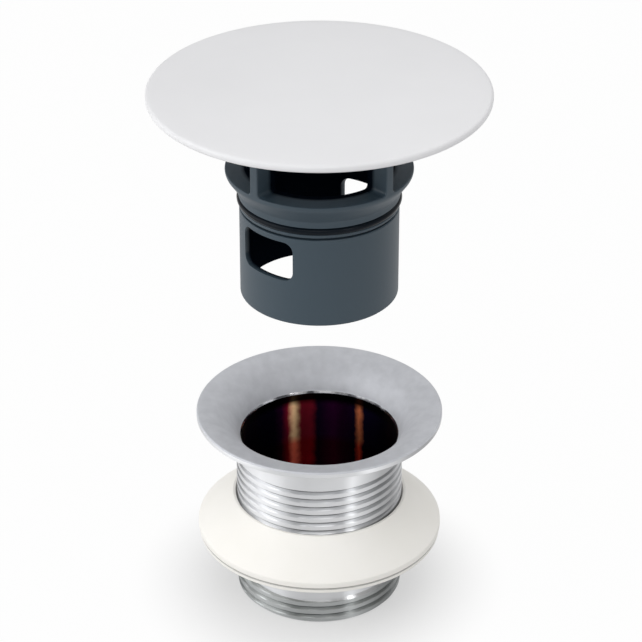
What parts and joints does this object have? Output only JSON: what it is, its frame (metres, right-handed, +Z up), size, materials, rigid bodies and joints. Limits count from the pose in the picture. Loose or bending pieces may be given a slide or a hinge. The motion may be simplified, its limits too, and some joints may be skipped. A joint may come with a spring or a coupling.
{
  "type": "basin waste",
  "caption": "Basin waste with its round covered plug lifted out above a flared, threaded tail that carries a conical rubber washer.",
  "frame": {"origin": "centre of the lower end of the threaded tail", "axes": "+Z up along the common axis of body and plug, -Y towards the viewer of the picture, +X to that viewer's right"},
  "size_m": [0.082, 0.082, 0.1396],
  "materials": {
    "chromed_brass": "satin",
    "cream_rubber": "matte",
    "slate_plastic": "satin",
    "black_rubber": "satin",
    "white_glaze": "satin"
  },
  "bodies": {
    "root": {"waste_body": "chromed_brass", "taper_washer": "cream_rubber", "carrier": "slate_plastic", "seal_ring": "black_rubber", "cover": "white_glaze"}
  },
  "joints": []
}
